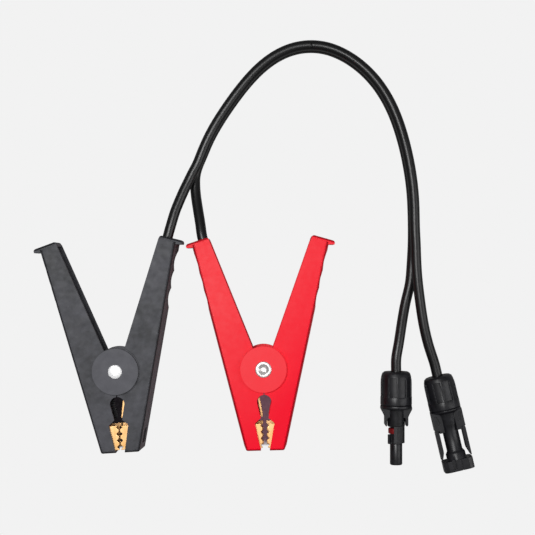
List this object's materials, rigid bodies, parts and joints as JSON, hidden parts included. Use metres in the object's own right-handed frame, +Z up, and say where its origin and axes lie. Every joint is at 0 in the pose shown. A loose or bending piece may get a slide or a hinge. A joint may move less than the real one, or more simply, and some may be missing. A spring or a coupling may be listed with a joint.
{
  "type": "battery clamp to solar plug adapter cable",
  "caption": "Adapter lead: a black and a red spring clamp joined by a bonded twin cable to a pair of round solar plugs, one with a slim nose and one with a collar.",
  "frame": {"origin": "bottom centre of the bounding box, on the surface the lead lies on", "axes": "+Z up out of the surface, +Y from the clamp jaws towards the cable arch, +X from the clamps towards the plugs"},
  "size_m": [0.264, 0.2616, 0.0265],
  "materials": {
    "cable_jacket": "satin extruded jacket",
    "copper": "stranded bare copper",
    "black_lever_plastic": "fine-grained moulded",
    "red_lever_plastic": "smooth moulded, half matt",
    "jaw_brass": "bright pressed sheet",
    "rivet_steel": "bright plated",
    "spring_steel": "drawn wire",
    "contact_metal": "tin plated",
    "red_seal": "silicone",
    "gland_rubber": "soft",
    "plug_plastic": "fine-grained moulded"
  },
  "bodies": {
    "cable_arch": {"twin_cable_jacket": "cable_jacket", "twin_core_upper": "copper", "twin_core_lower": "copper"},
    "black_clamp": {"black_clamp_leg_jacket": "cable_jacket", "black_clamp_leg_core": "copper", "black_cable_lever": "black_lever_plastic", "black_cable_jaw": "jaw_brass", "black_current_strip": "jaw_brass", "black_rivet": "rivet_steel", "black_torsion_spring": "spring_steel"},
    "black_lever": {"black_free_lever": "black_lever_plastic", "black_free_jaw": "jaw_brass"},
    "red_clamp": {"red_clamp_leg_jacket": "cable_jacket", "red_clamp_leg_core": "copper", "red_cable_lever": "red_lever_plastic", "red_cable_jaw": "jaw_brass", "red_current_strip": "jaw_brass", "red_rivet": "rivet_steel", "red_torsion_spring": "spring_steel"},
    "red_lever": {"red_free_lever": "red_lever_plastic", "red_free_jaw": "jaw_brass"},
    "socket_plug": {"socket_leg_jacket": "cable_jacket", "socket_leg_core": "copper", "socket_housing": "plug_plastic", "socket_cable_seal": "gland_rubber", "socket_sealing_ring": "red_seal", "socket_contact": "contact_metal"},
    "socket_cage": {"socket_clamping_cage": "plug_plastic"},
    "socket_nut": {"socket_gland_nut": "plug_plastic"},
    "pin_plug": {"pin_leg_jacket": "cable_jacket", "pin_leg_core": "copper", "pin_housing": "plug_plastic", "pin_cable_seal": "gland_rubber", "pin_contact": "contact_metal"},
    "pin_cage": {"pin_clamping_cage": "plug_plastic"},
    "pin_nut": {"pin_gland_nut": "plug_plastic"},
    "latch_left": {"latch_arm_left": "plug_plastic"},
    "latch_right": {"latch_arm_right": "plug_plastic"}
  },
  "joints": [
    {"name": "black_leg_flex", "type": "hinge", "parent": "cable_arch", "child": "black_clamp", "pos_m": [-0.03562, 0.05518, 0.00935], "axis": [0, 0, 1], "range_deg": [-20, 0]},
    {"name": "red_leg_flex", "type": "hinge", "parent": "cable_arch", "child": "red_clamp", "pos_m": [-0.03517, 0.055, 0.0031], "axis": [0, 0, 1], "range_deg": [0, 15]},
    {"name": "black_clamp_open", "type": "hinge", "parent": "black_clamp", "child": "black_lever", "pos_m": [-0.08322, -0.06858, 0.0132], "axis": [0, 0, 1], "range_deg": [-34, 0], "deforming": ["black_torsion_spring"]},
    {"name": "red_clamp_open", "type": "hinge", "parent": "red_clamp", "child": "red_lever", "pos_m": [0.00478, -0.06723, 0.0132], "axis": [0, 0, -1], "range_deg": [-34, 0], "deforming": ["red_torsion_spring"]},
    {"name": "socket_leg_flex", "type": "hinge", "parent": "cable_arch", "child": "socket_plug", "pos_m": [0.09586, 0.01762, 0.0031], "axis": [0, 0, 1], "range_deg": [-12, 4]},
    {"name": "pin_leg_flex", "type": "hinge", "parent": "cable_arch", "child": "pin_plug", "pos_m": [0.09636, 0.01762, 0.00935], "axis": [0, 0, 1], "range_deg": [-3, 18]},
    {"name": "socket_nut_travel", "type": "slide", "parent": "socket_plug", "child": "socket_cage", "axis": [0, 1, 0], "range_m": [0, 0.00401]},
    {"name": "socket_nut_turn", "type": "hinge", "parent": "socket_cage", "child": "socket_nut", "pos_m": [0.085, -0.07967, 0.0095], "axis": [0, 1, 0], "range_deg": [0, 720]},
    {"name": "pin_nut_travel", "type": "slide", "parent": "pin_plug", "child": "pin_cage", "axis": [-0.2284, 0.9736, 0], "range_m": [0, 0.00401]},
    {"name": "pin_nut_turn", "type": "hinge", "parent": "pin_cage", "child": "pin_nut", "pos_m": [0.11227, -0.08218, 0.0095], "axis": [-0.2284, 0.9736, 0], "range_deg": [0, 720]},
    {"name": "latch_left_flex", "type": "hinge", "parent": "pin_plug", "child": "latch_left", "pos_m": [0.1097, -0.10672, 0.0095], "axis": [0, 0, 1], "range_deg": [0, 5]},
    {"name": "latch_right_flex", "type": "hinge", "parent": "pin_plug", "child": "latch_right", "pos_m": [0.12547, -0.10302, 0.0095], "axis": [0, 0, -1], "range_deg": [0, 5]}
  ],
  "couplings": [
    {"joint": "socket_nut_travel", "follows": "socket_nut_turn", "m_per_rad": 0.00031831},
    {"joint": "pin_nut_travel", "follows": "pin_nut_turn", "m_per_rad": 0.00031831}
  ]
}
